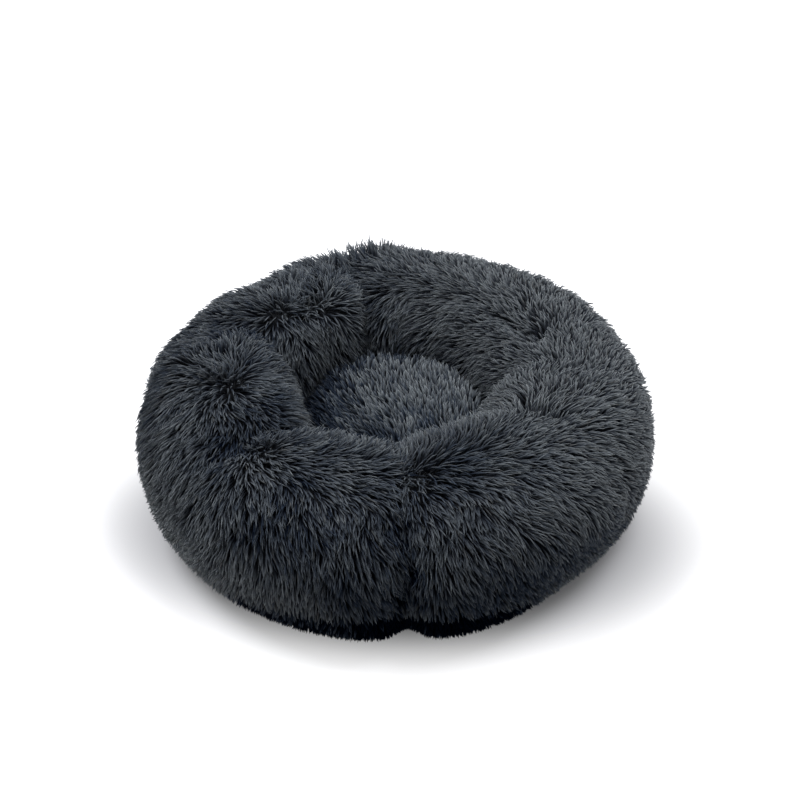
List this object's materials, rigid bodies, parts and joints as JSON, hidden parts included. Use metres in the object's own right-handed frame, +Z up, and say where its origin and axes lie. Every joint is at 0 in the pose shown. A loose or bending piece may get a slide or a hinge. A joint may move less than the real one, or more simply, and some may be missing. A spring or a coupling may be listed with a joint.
{
  "type": "donut pet bed",
  "caption": "Round plush pet bed: a lobed bolster ring round a domed cushion on a flat base cloth, with a zipped cover.",
  "frame": {"origin": "centre of the base cloth's flat underside, on the ring's axis", "axes": "+Z up, out of the hole; -Y towards the front, the side that the picture was taken from; +Y towards the zip"},
  "size_m": [0.4961, 0.4961, 0.151],
  "materials": {
    "ring_plush": "long-pile slate grey plush",
    "cushion_plush": "long-pile slate grey plush, a little lighter",
    "non_woven": "white spun-bonded cloth",
    "fibre": "white polyester fibre",
    "base_cloth": "black woven cloth with non-slip dots",
    "binding": "black woven tape",
    "zip_tape": "dark woven tape",
    "zip_coil": "dark nylon coil",
    "zip_metal": "dark painted die-cast metal",
    "label": "white satin, blank"
  },
  "bodies": {
    "bed": {"ring_cover": "ring_plush", "ring_liner": "non_woven", "ring_fill": "fibre", "cushion_cover": "cushion_plush", "cushion_fill": "fibre", "cushion_backing": "non_woven", "inner_seam_tape": "binding", "base_panel": "base_cloth", "base_binding": "binding", "zip_tape_upper": "zip_tape", "zip_tape_lower": "zip_tape", "zip_coil_upper": "zip_coil", "zip_coil_lower": "zip_coil", "zip_top_stop_upper": "zip_metal", "zip_top_stop_lower": "zip_metal", "zip_bottom_stop": "zip_metal", "care_label": "label"},
    "slider": {"zip_slider": "zip_metal"},
    "pull": {"zip_pull": "zip_metal"}
  },
  "joints": [
    {"name": "zip_travel", "type": "hinge", "parent": "bed", "child": "slider", "pos_m": [0, 0, 0], "axis": [0, 0, 1], "range_deg": [0, 96.4]},
    {"name": "zip_pull_swing", "type": "hinge", "parent": "slider", "child": "pull", "pos_m": [0.18832, 0.10341, 0.01267], "axis": [-0.6758, -0.3711, -0.6369], "range_deg": [-90, 75]}
  ]
}
